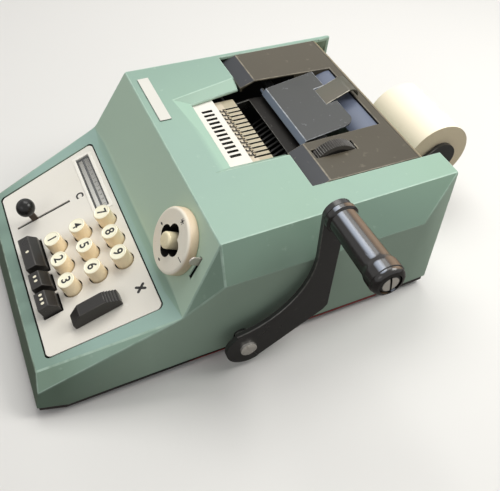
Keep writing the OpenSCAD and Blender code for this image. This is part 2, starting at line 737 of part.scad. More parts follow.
// The lever leans along two axes that lie halfway between the lobes
module at_pivot() { at_dial() rotate([0, 0, 45]) translate([0, 0, pivot_n]) children(); }
ear_x = boss_r - 0.5 - ear_t;
pivot_r = 1.5;
module selector_bracket() {
  top = -wall - 2 - pivot_n;
  color(steel) in_frame() at_pivot() {
    for (side = [-1, 1]) difference() {
      block([side > 0 ? ear_x : -ear_x - ear_t, -2.6, -4], [side > 0 ? ear_x + ear_t : -ear_x, 2.6, top]);
      rod_x(-boss_r - 2, boss_r + 2, pivot_r + run);
    }
    block([-ear_x - ear_t, -2.6, -6], [ear_x + ear_t, 2.6, -4 + join]);
  }
}
module selector_gimbal() {
  color(brass) in_frame() at_pivot() difference() {
    union() {
      cube([12, 12, 5], center = true);
      rod_x(-ear_x - ear_t, ear_x + ear_t, pivot_r);
    }
    cube([7.4, 7.4, 9], center = true);
    rotate([90, 0, 0]) cylinder(r = pivot_r + run, h = 20, center = true);
  }
}
knob_foot = 1.4;
knob_bore = 6;
stick_r = 1.9;
module selector_stick() {
  color(steel) in_frame() at_pivot() {
    cube([6.2, 6.2, 5], center = true);
    rotate([90, 0, 0]) cylinder(r = pivot_r, h = 12, center = true);
    cylinder(r = stick_r, h = knob_foot + knob_bore - pivot_n);
  }
}
module selector_knob() {
  crown = 1.6;
  color(cream) in_frame() at_dial() translate([0, 0, knob_foot]) rotate_extrude()
    polygon(concat([[stick_r + 0.02, 0], [knob_r - 0.3, 0], [knob_r, 0.3]],
      [for (a = [0:15:90]) [knob_r - crown + crown * cos(a), knob_h - knob_foot - crown + crown * sin(a)]],
      [[0, knob_h - knob_foot + 0.3], [0, knob_bore + 0.02], [stick_r + 0.02, knob_bore + 0.02]]));
}
module release_tab() {
  rest = tab_slot_top - 0.5;
  w = 6;
  color(steel) in_frame() on_riser() {
    wide(tab_x - 0.5, tab_x + 0.5) polygon([[rest - w, -wall - 0.4], [rest, -wall - 0.4], [rest, 5],
      [rest - 1.2, 6.3], [rest - 3, 6.8], [rest - 4.8, 6.3], [rest - w, 5]]);
    block([tab_x - 2.8, rest - w - 1, -wall - 2.3], [tab_x + 2.8, rest + 1, -wall - 0.3]);
  }
}

// Crank, seen from the machine's right: y is depth, z is height
grip_y = crank_y + grip_back;
grip_z = crank_z + grip_up;
arm_end_r = 9.2;
hub_screw_r = 2;
module arm_outline() {
  bend_r = 57;
  bend_y = grip_y - bend_r - 9.2;
  bend_z = grip_z - 30.6;
  limb_w = 14;
  heel = [bend_y + bend_r + limb_w - 1, crank_z + 17];
  polygon(concat([[grip_y - arm_end_r, grip_z]],
    [for (a = [-4:-8:-84]) [bend_y + bend_r * cos(a), bend_z + bend_r * sin(a)]],
    [[crank_y, crank_z], [crank_y + hub_r * cos(56.5), crank_z - hub_r * sin(56.5)],
     heel - [3, 2], heel + [0, 2], [grip_y + 5.5, grip_z]]));
  translate([crank_y, crank_z]) circle(hub_r);
  translate([grip_y, grip_z]) circle(arm_end_r);
}
module crank_arm() {
  color(black) in_frame() difference() {
    wide(arm_x, arm_x + arm_t) arm_outline();
    translate([0, crank_y, crank_z]) rod_x(arm_x - 1, arm_x + arm_t + 1, hub_screw_r + run);
    translate([0, grip_y, grip_z]) rod_x(arm_x - 1, arm_x + arm_t + 1, 3 + run);
  }
}
module crank_handle() {
  collar_r = grip_r - 0.3;
  step = 0.73 * grip_len;
  nose = 3;
  color(black) in_frame() translate([grip_x, grip_y, grip_z]) rotate([0, 90, 0]) rotate_extrude()
    polygon(concat([[3 + run, 0], [collar_r - 0.6, 0], [collar_r, 0.6], [collar_r, 3.2],
      [collar_r - 0.5, 3.8],
      [grip_neck_r, 4.4], [grip_neck_r, 6], [grip_neck_r + 0.5, step - 3]],
      [for (f = [0:0.25:1]) [grip_neck_r + 0.6 + (grip_r - grip_neck_r - 0.6) * (1 - cos(180 * f)) / 2,
        step + 5 * f]],
      [[grip_r, grip_len - nose - 1.2], [grip_r - 0.5, grip_len - nose - 0.7]],
      [for (a = [0:18:90]) [grip_r - 0.5 - nose + nose * cos(a), grip_len - nose + nose * sin(a)]],
      [[6.7, grip_len], [6.7, grip_len - 2.2], [3 + run, grip_len - 2.2]]));
}
// Domed screw head with a slot
module slot_head(r, h) {
  crown = 0.7;
  difference() {
    rotate_extrude()
      polygon([[0, 0], [r, 0], [r, h - crown], [r * 0.8, h - crown * 0.36], [r * 0.5, h], [0, h]]);
    translate([0, 0, h]) cube([2 * r + 1, 1.2, 1.8], center = true);
  }
}
module handle_screw() {
  color(steel) in_frame() translate([0, grip_y, grip_z]) {
    rod_x(arm_x, handle_end - 1.8, 3);
    translate([handle_end - 1.9, 0, 0]) rotate([0, 90, 0]) rotate(8) slot_head(6.1, 1.9);
  }
}
module hub_screw() {
  color(steel) in_frame() translate([0, crank_y, crank_z]) {
    rod_x(arm_x - 6, arm_x + arm_t + join, hub_screw_r);
    translate([arm_x + arm_t, 0, 0]) rotate([0, 90, 0]) rotate(20) slot_head(5.6, 2.4);
  }
}
module crank_shaft() {
  color(steel) in_frame() translate([0, crank_y, crank_z]) difference() {
    rod_x(-rod_end - 1, arm_x, shaft_r);
    rod_x(arm_x - 8, arm_x + 1, hub_screw_r);
  }
}
module shaft_bushes() {
  color(brass) in_frame() for (side = [-1, 1]) translate([0, crank_y, crank_z]) difference() {
    union() {
      rod_x(side > 0 ? frame_half : -rod_end, side > 0 ? rod_end : -frame_half, shaft_r + 2);
      rod_x(side > 0 ? rod_end : -rod_end - 2, side > 0 ? rod_end + 2 : -rod_end, shaft_r + 4);
    }
    rod_x(-rod_end - 5, rod_end + 5, shaft_r + run);
  }
}

// Involute gear: flank angle at radius r for a gear with the given teeth
function inv_deg(a) = tan(a) * 180 / PI - a;
function flank(r, rb, half) = half + inv_deg(20) - inv_deg(acos(min(1, rb / r)));
module gear(teeth, m) {
  pitch_r = m * teeth / 2;
  base_r = pitch_r * cos(20);
  root_r = pitch_r - 1.25 * m;
  tip_r = pitch_r + 0.95 * m;
  half = 90 / teeth - 0.12 * 180 / PI / pitch_r;
  radii = [for (k = [0:5]) base_r + (tip_r - base_r) * k / 5];
  circle(root_r);
  for (tooth = [0:teeth - 1]) rotate(tooth * 360 / teeth) polygon(concat([[0, 0]],
    [for (r = radii) let (a = flank(r, base_r, half)) [r * cos(a), -r * sin(a)]],
    [for (k = [5:-1:0]) let (r = radii[k], a = flank(r, base_r, half)) [r * cos(a), r * sin(a)]]));
}
module gear_x_disc(y, z, teeth, phase, bore) {
  translate([gear_x, y, z]) rotate([90, 0, 90]) linear_extrude(gear_w) difference() {
    rotate(phase) gear(teeth, gear_module);
    circle(bore);
  }
}
module drive_gear() {
  color(brass) in_frame() gear_x_disc(crank_y, crank_z, drive_teeth, rack_angle, shaft_r + 0.02);
}
module rack_gear() {
  color(brass) in_frame() gear_x_disc(rack_y, rack_z, rack_teeth, rack_angle + 180 + 180 / rack_teeth,
    rack_shaft_r + 0.02);
}
module rack_shaft() {
  color(steel) in_frame() translate([0, rack_y, rack_z]) rod_x(-rod_end, rod_end, rack_shaft_r);
}
module type_sectors() {
  low = -5;
  high = 30;
  rim = 8;
  color(steel) in_frame() translate([0, rack_y, rack_z]) {
    difference() {
      rod_x(print_x - print_half - 3, print_x + print_half + 3, rack_shaft_r + 2.5);
      rod_x(-rod_end, rod_end, rack_shaft_r + 0.02);
    }
    for (c = [0:columns - 1]) wide(print_x - print_half + c * column_pitch - 0.8,
      print_x - print_half + c * column_pitch + 0.8) difference() {
        polygon(concat([[3, -5], [3, 5]], [for (a = [high:-5:low]) type_r * [cos(a), sin(a)]]));
        polygon(concat([[16, 1], [16, 6]],
          [for (a = [high - 6:-5:low + 5]) (type_r - rim) * [cos(a), sin(a)]]));
        circle(rack_shaft_r + 1);
      }
  }
}

// Window plate in front and comb behind it, both hung on the frame rods
plate_left = recess_left - 3;
plate_right = recess_right - 2;
module window_plate() {
  slot_w = 2.5;
  color(ivory) in_frame() on_top() difference() {
    union() {
      block([plate_left, recess_front + 9, plate_n - 1.5], [plate_right, 51.5, plate_n]);
      for (x = [plate_left, plate_right - 1.5])
        block([x, rod_t[0] - 5, rod_n - 5], [x + 1.5, rod_t[0] + 5, plate_n]);
    }
    for (c = [0:columns - 1]) translate([print_x - print_half + c * column_pitch - slot_w / 2, 39.1, -40])
      cube([slot_w, 8, 60]);
    translate([0, rod_t[0], rod_n]) rod_x(plate_left - 1, plate_right + 1, rod_r + run);
  }
}
module type_comb() {
  finger = 3;
  left = plate_left + 3;
  right = plate_right - 3;
  color(ivory) in_frame() on_top() difference() {
    union() {
      block([left, 52, comb_n - 2], [right, 56, comb_n]);
      block([left, 52, comb_n - 2], [print_x - print_half - finger / 2 - 1.7, 68.2, comb_n]);
      block([print_x + print_half + finger / 2 + 1.7, 52, comb_n - 2], [right, 68.2, comb_n]);
      for (c = [0:columns - 1]) translate([print_x - print_half + c * column_pitch - finger / 2, 0, 0]) {
        block([0, 55, comb_n - 2], [finger, 68.2, comb_n]);
        block([0.4, 56.4, comb_n - join], [finger - 0.4, 58, comb_n + 1]);
      }
      for (x = [left, right - 1.5]) block([x, rod_t[1] - 5, rod_n - 5], [x + 1.5, rod_t[1] + 4, comb_n]);
    }
    translate([0, rod_t[1], rod_n]) rod_x(left - 1, right + 1, rod_r + run);
  }
}
// Dark plate in front of the platen, hung on the rear frame rod
module line_shield() {
  ear = 1.2;
  front = [79.8, -12];
  rear = [hinge_t + 0.3, -12.6];
  color(black) in_frame() on_top() difference() {
    union() {
      wide(mouth_left, mouth_right) polygon([front, rear, rear - [0, sheet], front - [0, sheet]]);
      for (x = [mouth_left, mouth_right - ear]) wide(x, x + ear)
        polygon([[rod_t[1] - 4, rod_n + 4.2], [rod_t[1] - 4, rod_n - 4], [rod_t[1] + 4, rod_n - 4],
          rear - [6, 4], rear - [4, join], front - [0, join]]);
    }
    translate([0, rod_t[1], rod_n]) rod_x(mouth_left - 1, mouth_right + 1, rod_r + run);
  }
}
module label_plate() {
  color(ivory) in_frame() on_top() block([-79.3, 5.2, 0], [-27.4, 13.4, 0.8]);
}

// Printer cover: profile in depth and height, behind the crest
module cover_profile(i) {
  roll = 7;
  front_drop = 4.7;
  polygon(concat([[cover_front + 1.6 + i, -front_drop - 3], [cover_front + 1.6 + i, -front_drop - i * 0.9],
    [cover_front + cover_slope + i * 0.2, -i]],
    [for (a = [90:-15:0]) [cover_rear - roll + (roll - i) * cos(a), -roll + (roll - i) * sin(a)]],
    [[cover_rear - i, -14 - i], [cover_rear - i, -14 - i * 2], [cover_front + 1.6 + i, -14 - i * 2]]));
}
module printer_cover() {
  cheek = 2;
  color([0.16, 0.15, 0.14]) in_frame() on_top() difference() {
    union() {
      difference() {
        intersection() {
          wide(cover_left - 1, cover_right + 1) cover_profile(0);
          translate([0, 0, -30]) linear_extrude(40) cover_plan(0);
        }
        wide(cover_left - 2, cover_right + 2) cover_profile(cover_t);
        block([cover_left - 1, cover_front - 1, -40], [cover_right + 1, cover_rear - 3.5, -8]);
      }
      for (x = [mouth_left - cheek, mouth_right])
        block([x, hinge_t - 4, hinge_n - 2.3], [x + cheek, mouth_rear + 6, -cover_t + join]);
    }
    hull() {
      block([mouth_left, cover_front + cover_slope, -16], [mouth_right, mouth_rear, 3]);
      block([mouth_left - 5, cover_front, -16], [mouth_right + 1.5, cover_front + 1, 3]);
    }
    translate([0, hinge_t, hinge_n]) rod_x(mouth_left - 9, mouth_right + 9, hinge_pin_r + run);
    block([wheel_left - 0.7, platen_t - wheel_slot, -9],
      [wheel_left + wheel_w + 0.7, platen_t + wheel_slot, 3]);
  }
}
guide_left = print_x - guide_w / 2;
// Underside of the paper guide at a distance t behind the crest
function guide_under(t) = guide_knee_n - sheet + (guide_end_n - guide_knee_n)
  * (t - guide_knee_t) / (guide_end_t - guide_knee_t);
module paper_guide() {
  corner = 8;
  tab_left = print_x - 13.6;
  slope = atan2(guide_end_n - guide_knee_n, guide_end_t - guide_knee_t);
  color([0.45, 0.46, 0.47]) in_frame() on_top() {
    difference() {
      wide(guide_left, guide_left + guide_w) polygon([[guide_foot_t, guide_foot_n],
        [guide_knee_t, guide_knee_n], [guide_end_t, guide_end_n], [guide_end_t, guide_end_n - sheet],
        [guide_knee_t + 0.7, guide_under(guide_knee_t + 0.7)], [guide_foot_t + sheet + 0.2, guide_foot_n]]);
      block([tab_left, guide_end_t - 8, -9], [tab_left + 19.4, guide_end_t + 5, 9]);
      translate([guide_left + guide_w - corner, guide_end_t - corner, -9]) difference() {
        cube([corner + 1, corner + 1, 18]);
        cylinder(r = corner, h = 18);
      }
    }
    translate([0, hinge_t, hinge_n]) {
      rod_x(guide_left, guide_left + guide_w, 2);
      rod_x(mouth_left - 2, mouth_right + 2, hinge_pin_r);
    }
  }
}
// Spring strip that rises through the notch of the paper guide and curls over
module guide_tab() {
  left = print_x - 12.8;
  curl = [guide_end_t + 11.5, guide_end_n - 1];
  curl_r = 6.5;
  foot = guide_end_t - 17;
  rise = guide_end_t - 8;
  lap = 0.05;
  function path(d) = concat([[foot, guide_under(foot) - lap - d], [rise, guide_under(rise) - lap - d]],
    [for (a = [110:-11:0]) curl + (curl_r - d) * [cos(a), sin(a)]]);
  back = path(1);
  color([0.30, 0.29, 0.27]) in_frame() on_top() wide(left, left + 17.6)
    polygon(concat(path(0), [for (k = [len(back) - 1:-1:0]) back[k]]));
}
module paper_chute() {
  chute_r = 24;
  centre = [mouth_rear - 0.3, -cover_t - 0.3 - chute_r];
  function arc(r) = [for (a = [90:7.5:135]) centre + r * [cos(a), sin(a)]];
  lower = arc(chute_r - 1);
  color(steel) in_frame() on_top() wide(mouth_left + 0.1, mouth_right - 0.1)
    polygon(concat(arc(chute_r), [for (k = [len(lower) - 1:-1:0]) lower[k]]));
}
module at_platen() { translate([0, platen_y, platen_z]) children(); }
module platen() {
  color(black) in_frame() at_platen() difference() {
    rod_x(mouth_left + 1, mouth_right - 1, platen_r);
    rod_x(mouth_left, mouth_right, platen_shaft_r + 0.02);
  }
}
module platen_shaft() {
  color(steel) in_frame() at_platen() rod_x(-rod_end, rod_end, platen_shaft_r);
}
module platen_wheel() {
  teeth = 72;
  depth = 0.7;
  color(black) in_frame() at_platen() translate([wheel_left, 0, 0]) rotate([90, 0, 90]) difference() {
    linear_extrude(wheel_w) polygon([for (k = [0:2 * teeth - 1]) let (a = k * 180 / teeth,
      r = wheel_r - (k % 2) * depth) [r * cos(a), r * sin(a)]]);
    translate([0, 0, wheel_w - 1.5]) cylinder(r = wheel_r - 3.5, h = 3);
    translate([0, 0, -1]) cylinder(r = platen_shaft_r + 0.02, h = wheel_w + 2);
  }
}

// Paper roll behind the machine, between the arms of a bracket on the rear face
roll_left = print_x + 1 - roll_w / 2;
arm_gap = 1.2;
module at_roll() { translate([0, roll_y, roll_z]) children(); }
function rear_face_y(z) = rear_foot_y + (rear_y - rear_foot_y) * (z - skirt_z) / (rear_z - skirt_z);
function bracket_foot(t) = let (low = 13, high = 30) [[rear_face_y(low), low], [rear_face_y(high), high],
  [rear_face_y(high) + t, high], [rear_face_y(low) + t, low]];
module roll_arm() {
  end_r = 13;
  hull() {
    translate([roll_y, roll_z]) circle(end_r, $fn = 32);
    polygon(bracket_foot(4));
  }
}
module roll_bracket() {
  arm = 3;
  left = roll_left - arm_gap - arm;
  right = roll_left + roll_w + arm_gap;
  color(black) in_frame() difference() {
    union() {
      for (x = [left, right]) wide(x, x + arm) roll_arm();
      wide(left, right + arm) polygon(bracket_foot(3));
    }
    at_roll() rod_x(left - 1, right + arm + 1, 4 + run);
  }
}
module roll_core() {
  color(black) in_frame() at_roll() {
    rod_x(roll_left - 0.6, roll_left + roll_w + 0.6, core_r);
    rod_x(roll_left - arm_gap - 3, roll_left + roll_w + arm_gap + 3, 4);
  }
}
module paper_roll() {
  color([0.98, 0.96, 0.86]) in_frame() at_roll() difference() {
    rod_x(roll_left, roll_left + roll_w, roll_r);
    rod_x(roll_left - 1, roll_left + roll_w + 1, core_r + 0.02);
  }
}

upper_cover();
base_pan();
rubber_feet();
cover_screws();
side_frame_left();
side_frame_right();
frame_rods();
key_panel();
key_guide();
key_1();
key_2();
key_3();
key_4();
key_5();
key_6();
key_7();
key_8();
key_9();
key_0();
key_00();
key_000();
repeat_bar();
clear_stem();
clear_ball();
window_bezel();
entry_window();
column_scale();
pin_carriage();
carriage_rails();
selector_ring();
selector_bracket();
selector_gimbal();
selector_stick();
selector_knob();
release_tab();
crank_arm();
crank_handle();
handle_screw();
hub_screw();
crank_shaft();
shaft_bushes();
drive_gear();
rack_gear();
rack_shaft();
type_sectors();
window_plate();
type_comb();
line_shield();
label_plate();
printer_cover();
paper_guide();
guide_tab();
paper_chute();
platen();
platen_shaft();
platen_wheel();
roll_bracket();
roll_core();
paper_roll();
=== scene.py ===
"""Hand-cranked printing adding machine: looks, camera and light."""
import json
import math

import bmesh
import bpy
from mathutils import Matrix, Vector
from mathutils.bvhtree import BVHTree


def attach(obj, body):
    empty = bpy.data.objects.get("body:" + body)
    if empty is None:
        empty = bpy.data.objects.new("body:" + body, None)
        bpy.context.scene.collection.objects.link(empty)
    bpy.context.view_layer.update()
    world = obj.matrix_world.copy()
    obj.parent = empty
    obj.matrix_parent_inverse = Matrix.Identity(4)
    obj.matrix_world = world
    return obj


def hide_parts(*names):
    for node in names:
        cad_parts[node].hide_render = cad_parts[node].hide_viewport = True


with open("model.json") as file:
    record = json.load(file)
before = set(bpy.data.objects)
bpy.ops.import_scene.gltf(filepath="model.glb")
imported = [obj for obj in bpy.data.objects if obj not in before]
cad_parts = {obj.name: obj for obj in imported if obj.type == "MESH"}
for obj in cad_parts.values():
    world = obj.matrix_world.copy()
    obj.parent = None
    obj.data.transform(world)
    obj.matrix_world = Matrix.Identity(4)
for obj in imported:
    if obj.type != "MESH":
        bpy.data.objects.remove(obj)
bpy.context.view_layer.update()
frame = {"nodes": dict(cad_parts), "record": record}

MM = 0.001
NODES = frame["nodes"]
BODY_OF = {node: body for body, members in frame["record"]["behaviour"]["bodies"].items()
           for node in members}
SLOT_OF = {part["node"]: part["material_slot"] for part in frame["record"]["subparts"]}

# Machine measures in millimetres: X across from the middle, Y back from the front, Z up
# Where the frame's origin is in them
FRAME_ORIGIN = (30.35, 175.45)
DECK_FRONT_HEIGHT = 28.5
DECK_RISE, DECK_RUN = 30.5, 92.4
RISER_RISE, RISER_RUN = 48.0, 27.4
TOP_RISE, TOP_RUN = -5.3, 167.0
DIAL_PLACE = (60.3, 27.3, 0)
# Height of the comb over the plane of the top
COMB_HEIGHT = -11.0


def at(x, y, z):
    """Point of the frame, in metres, for machine measures in millimetres."""
    return Vector((x - FRAME_ORIGIN[0], y - FRAME_ORIGIN[1], z)) * MM


def slope(y, z, rise, run):
    """Frame of a sloping face: its origin's depth and height, then its rise over its run."""
    turn = Matrix.Rotation(math.atan2(rise, run), 4, "X")
    return Matrix.Translation(at(0, y, z)) @ turn @ Matrix.Scale(MM, 4)


def normal_of(face):
    return tuple((face.to_3x3() @ Vector((0, 0, 1))).normalized())


RISER_FOOT = DECK_FRONT_HEIGHT + DECK_RISE
CREST = DECK_RUN + RISER_RUN
DECK = slope(0, DECK_FRONT_HEIGHT, DECK_RISE, DECK_RUN)
RISER = slope(DECK_RUN, RISER_FOOT, RISER_RISE, RISER_RUN)
TOP = slope(CREST, RISER_FOOT + RISER_RISE, TOP_RISE, TOP_RUN)
DIAL = RISER @ Matrix.Translation(DIAL_PLACE)
ROLL = at(-9.5, 330, 48)
UP, FRONT, REAR = (0.0, 0.0, 1.0), (0.0, -1.0, 0.0), (0.0, 1.0, 0.0)
RIGHT, LEFT = (1.0, 0.0, 0.0), (-1.0, 0.0, 0.0)
DECK_UP, RISER_UP, TOP_UP = normal_of(DECK), normal_of(RISER), normal_of(TOP)


# Materials
class Nodes:
    """Short calls for building a node tree."""

    def __init__(self, name):
        self.material = bpy.data.materials.new(name)
        self.material.use_nodes = True
        self.tree = self.material.node_tree
        self.shader = self.tree.nodes["Principled BSDF"]
        coordinates = self.add("ShaderNodeTexCoord")
        self.space = coordinates.outputs["Object"]
        self.normal = coordinates.outputs["Normal"]

    def add(self, kind, **values):
        node = self.tree.nodes.new(kind)
        for key, value in values.items():
            setattr(node, key, value)
        return node

    def link(self, a, b):
        self.tree.links.new(a, b)

    def noise(self, scale, detail=3.0, stretch=None):
        node = self.add("ShaderNodeTexNoise")
        node.inputs["Scale"].default_value = scale
        node.inputs["Detail"].default_value = detail
        source = self.space
        if stretch:
            mapping = self.add("ShaderNodeMapping")
            mapping.inputs["Scale"].default_value = stretch
            self.link(source, mapping.inputs["Vector"])
            source = mapping.outputs["Vector"]
        self.link(source, node.inputs["Vector"])
        return node.outputs["Fac"]

    def span(self, value, low, high, to_low=0.0, to_high=1.0):
        node = self.add("ShaderNodeMapRange")
        names = ("From Min", "From Max", "To Min", "To Max")
        for key, number in zip(names, (low, high, to_low, to_high)):
            node.inputs[key].default_value = number
        self.link(value, node.inputs["Value"])
        return node.outputs["Result"]

    def math(self, kind, a, b):
        node = self.add("ShaderNodeMath", operation=kind)
        for socket, value in zip(node.inputs, (a, b)):
            if isinstance(value, float):
                socket.default_value = value
            else:
                self.link(value, socket)
        return node.outputs["Value"]

    def both(self, a, b):
        return self.math("MULTIPLY", a, b)

    def either(self, a, b):
        return self.math("MAXIMUM", a, b)

    def vector(self, kind, a, b=None):
        node = self.add("ShaderNodeVectorMath", operation=kind)
        self.link(a, node.inputs[0])
        if b is not None:
            node.inputs[1].default_value = b
        return node.outputs["Value" if kind in ("DOT_PRODUCT", "LENGTH") else "Vector"]

    def facing(self, direction, low, high):
        """0 to 1 as the surface turns towards a direction of the object."""
        return self.span(self.vector("DOT_PRODUCT", self.normal, direction), low, high)

    def along(self, direction, length, start):
        """0 to 1 over a length in metres, from a point and along a direction of the object."""
        moved = self.vector("SUBTRACT", self.space, tuple(start))
        return self.span(self.vector("DOT_PRODUCT", moved, direction), 0.0, length)

    def radius(self, centre):
        """Distance in metres from an axis along X."""
        moved = self.vector("SUBTRACT", self.space, tuple(centre))
        return self.vector("LENGTH", self.vector("MULTIPLY", moved, (0, 1, 1)))

    def mix(self, fac, a, b, most=None):
        """Blend from a to b, where most caps the share of b."""
        node = self.add("ShaderNodeMix", data_type="RGBA")
        self.link(fac if most is None else self.span(fac, 0.0, 1.0, 0.0, most),
                  node.inputs["Factor"])
        colour_a, colour_b = node.inputs[6], node.inputs[7]
        for socket, colour in ((colour_a, a), (colour_b, b)):
            if isinstance(colour, tuple):
                socket.default_value = (*colour, 1.0)
            else:
                self.link(colour, socket)
        return node.outputs[2]

    def bump(self, height, strength, distance, after=None):
        node = self.add("ShaderNodeBump")
        node.inputs["Strength"].default_value = strength
        node.inputs["Distance"].default_value = distance
        self.link(height, node.inputs["Height"])
        if after:
            self.link(after, node.inputs["Normal"])
        return node.outputs["Normal"]


def shade(colour, factor):
    return tuple(min(1.0, c * factor) for c in colour)


def linear(r, g, b):
    """Screen colour out of 255 to the renderer's linear colour."""
    return tuple(((c / 255 + 0.055) / 1.055) ** 2.4 if c > 10 else c / 3294.6 for c in (r, g, b))


# Ranges of the noises, then the shares that some of them map to
CLOUDS = (0.35, 0.65)
TINTED = (0.4, 0.7, 0.0, 0.8)
FACE_SCUFFS = (0.66, 0.76, 0.0, 0.3)
# On rounded edges these scuffs also paint a highlight
EDGE_SCUFF_AND_HIGHLIGHT_SHARES = (0.35, 0.6, 0.3, 0.85)
GLOSS = (0.3, 0.7)
# Scales of the other noises, as multiples of the clouds' own
TINT_SCALE, GLOSS_SCALE, SCUFF_SCALE = 0.5, 4, 14
GRAIN_STRENGTH = 0.35
RELIEF_STRENGTH, RELIEF_DEPTH = 0.8, 0.0002
COAT_ROUGHNESS = 0.1
# Edge versions of materials: wear and a painted highlight
EDGE_WEAR_AND_HIGHLIGHT = {}


def surface(name, colour, rough, metal=0.0, vary=0.06, patch=18.0, grain=900.0,
            grain_depth=0.00002, rough_vary=0.05, wear_and_edge_highlight=None, coat=0.0, stretch=None,
            specular=0.5, tint=None, paint=None, relief=None, shade_over_wear=None):
    """A material with clouded colour, uneven gloss, fine grain and scuffs.

    A paler version for rounded edges, with wear and a painted highlight, is kept by the
    material's name.
    """
    def build(title, scuff_and_highlight_shares):
        n = Nodes(title)
        clouds = n.noise(patch, 4.0)
        base = n.mix(n.span(clouds, *CLOUDS), shade(colour, 1 - vary), shade(colour, 1 + vary))
        if tint:
            base = n.mix(n.span(n.noise(patch * TINT_SCALE, 3.0), *TINTED), base, tint)
        if paint:
            base = paint(n, base)
        if wear_and_edge_highlight:
            base = n.mix(n.span(n.noise(patch * SCUFF_SCALE, 5.0), *scuff_and_highlight_shares), base, wear_and_edge_highlight)
        # A hook that paints shade over the wear too
        if shade_over_wear:
            base = shade_over_wear(n, base)
        n.link(base, n.shader.inputs["Base Color"])
        gloss = n.noise(patch * GLOSS_SCALE, 5.0, stretch)
        n.link(n.span(gloss, *GLOSS, rough - rough_vary, rough + rough_vary),
               n.shader.inputs["Roughness"])
        normal = n.bump(n.noise(grain, 3.0, stretch), GRAIN_STRENGTH, grain_depth)
        if relief:
            normal = n.bump(relief(n), RELIEF_STRENGTH, RELIEF_DEPTH, normal)
        n.link(normal, n.shader.inputs["Normal"])
        n.shader.inputs["Metallic"].default_value = metal
        n.shader.inputs["Specular IOR Level"].default_value = specular
        n.shader.inputs["Coat Weight"].default_value = coat
        n.shader.inputs["Coat Roughness"].default_value = COAT_ROUGHNESS
        return n.material

    material = build(name, FACE_SCUFFS)
    if wear_and_edge_highlight:
        EDGE_WEAR_AND_HIGHLIGHT[material.name] = build(name + "_edge", EDGE_SCUFF_AND_HIGHLIGHT_SHARES)
    return material


# Tones of the housing: its own mint, then painted light, shade and reflection for how light
# falls on each face, and painted shade low at the front
MINT = linear(149, 177, 163)
SIDE_LIGHTING_TONE = linear(162, 185, 167)
DECK_REFLECTION_TONE = linear(150, 178, 168)
RISER_LIGHT_TONE = linear(184, 208, 188)
WINDOW_SLOPE_LIGHT_TONE = linear(158, 188, 170)
FRONT_SHADE_TONE = linear(96, 116, 94)
CHAMFER_SHADE_TONE = linear(104, 126, 108)
LEFT_SHADE_TONE = linear(118, 144, 130)
LOW_FRONT_SHADE_TONE = linear(62, 78, 62)
# A tone's step from one face to the next, in metres
STEP = 0.002
# Waves of a pattern, in radians per metre
ROLL_RINGS, WHEEL_GROOVES = 9000.0, 5200.0


def housing_paint(n, base):
    """Painted light, shade and reflection by facing: a painted bluish reflection on the deck,
    painted light on the olive riser and on the slopes round the printer's window, and greyer
    sides painted for how light falls on them.

    Painted shade darkens the front, the chamfers behind the deck and the left of the top.
    """
    sides = n.mix(n.facing(UP, 0.05, 0.55), SIDE_LIGHTING_TONE, base)
    deck = n.mix(n.facing(DECK_UP, 0.985, 0.998), sides, DECK_REFLECTION_TONE)
    riser = n.mix(n.facing(RISER_UP, 0.97, 0.995), deck, RISER_LIGHT_TONE)

    tilted = n.both(n.facing(TOP_UP, 0.75, 0.85), n.facing(TOP_UP, 0.995, 0.975))
    middle = n.both(n.along(RIGHT, STEP, at(-72, 0, 0)), n.along(LEFT, STEP, at(50, 0, 0)))
    high = n.both(middle, n.along(UP, STEP, at(0, 0, 90)))
    window = n.mix(n.both(tilted, high), riser, WINDOW_SLOPE_LIGHT_TONE)

    front = n.both(n.facing(FRONT, 0.1, 0.6), n.along(FRONT, 0.03, at(0, 40, 0)))
    darker = n.mix(front, window, FRONT_SHADE_TONE)

    flank = n.either(n.facing(RIGHT, 0.4, 0.7), n.facing(LEFT, 0.4, 0.7))
    chamfer = n.both(n.both(n.facing(UP, 0.08, 0.2), flank), n.along(REAR, 0.03, at(0, 80, 0)))
    shaded = n.mix(chamfer, darker, CHAMFER_SHADE_TONE, most=0.45)

    left = n.both(n.facing(TOP_UP, 0.98, 0.998), n.along(LEFT, 0.09, at(-10, 0, 0)))
    return n.mix(left, shaded, LEFT_SHADE_TONE, most=0.5)


def housing_grime(n, base):
    """Painted shade: darker front and lower sides towards the front, over the rounded edges too.
    """
    low = n.both(n.along(FRONT, 0.06, at(0, 70, 0)), n.facing(UP, 0.6, 0.4))
    return n.mix(low, base, LOW_FRONT_SHADE_TONE, most=0.7)


def ring_paint(n, base):
    """Browner down the ring's rim."""
    return n.mix(n.facing(RISER_UP, 0.3, 0.85), linear(214, 194, 166), base)


def handle_paint(n, base):
    """Painted highlights: a cool streak along the front of the grip and a warm one towards the
    rear.
    """
    cool_highlight = n.mix(n.facing((0.0, -0.42, 0.907), 0.972, 0.999), base, linear(160, 168, 182))
    return n.mix(n.facing((0.0, 0.42, 0.907), 0.9, 0.99), cool_highlight, linear(112, 91, 70))


def key_paint(n, base):
    """Yellower down the stems of the keys: their own tone and a painted warm bounce of light."""
    return n.mix(n.facing(DECK_UP, 0.45, 0.95), linear(250, 230, 192), base)


def plate_paint(n, base):
    """Painted shade: dark sides on the label plate."""
    return n.mix(n.facing(UP, 0.2, 0.8), linear(60, 58, 54), base)


def cover_paint(n, base):
    """Black front slopes and a painted highlight of warm light along the rear edge."""
    front = n.mix(n.facing(FRONT, 0.2, 0.24), base, linear(50, 52, 56))
    return n.mix(n.facing(REAR, 0.25, 0.85), front, linear(176, 158, 118))


def guide_paint(n, base):
    """Lighter and bluer where the guide faces the front."""
    return n.mix(n.facing(FRONT, 0.25, 0.7), base, linear(112, 122, 137))


